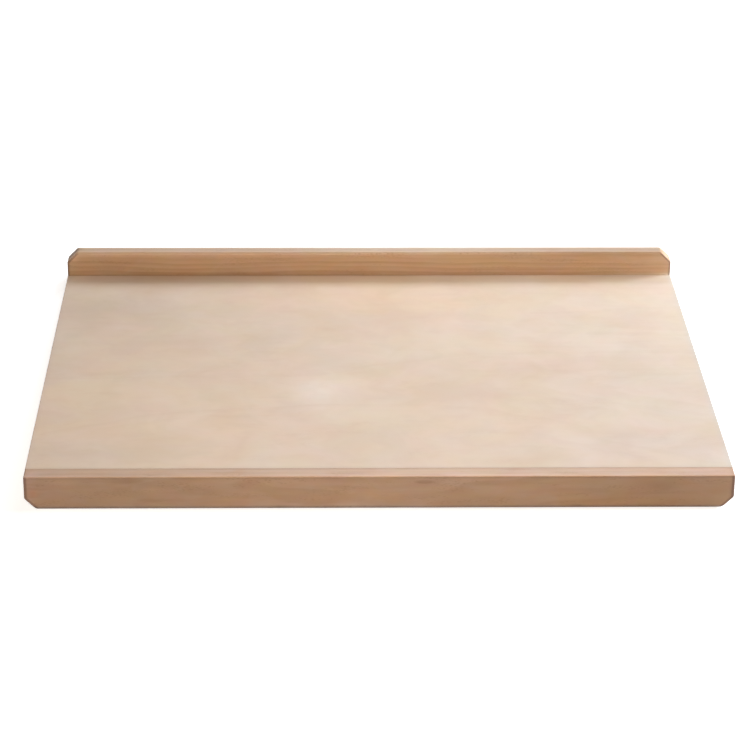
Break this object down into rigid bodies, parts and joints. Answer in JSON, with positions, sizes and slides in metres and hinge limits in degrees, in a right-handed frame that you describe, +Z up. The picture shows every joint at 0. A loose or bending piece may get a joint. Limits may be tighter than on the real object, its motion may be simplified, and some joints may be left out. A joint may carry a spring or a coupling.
{
  "type": "pastry board",
  "caption": "Plywood pastry board with a front rail that hooks over a worktop's edge and a raised back rail that keeps flour on the board.",
  "frame": {"origin": "centre of the panel's underside, the face that lies on the worktop", "axes": "+X along the rails to the right of a person working at the board, +Y from the front rail to the back rail, +Z up out of the work surface"},
  "size_m": [0.65, 0.5, 0.0595],
  "materials": {
    "rail_wood": "steamed beech, straight grain along the rail, sanded fine and unvarnished",
    "face_veneer": "pale rotary-cut veneer, grain along the rails, sanded fine and unvarnished",
    "crossband_veneer": "inner veneer with its grain from front to back, so that the side edges show it along the grain, between the end grain of the other plies",
    "core_veneer": "inner veneer with its grain along the rails"
  },
  "bodies": {
    "root": {"front_rail": "rail_wood", "back_rail": "rail_wood", "top_face_veneer": "face_veneer", "upper_crossband_veneer": "crossband_veneer", "core_veneer": "core_veneer", "lower_crossband_veneer": "crossband_veneer", "bottom_face_veneer": "face_veneer"}
  },
  "joints": []
}
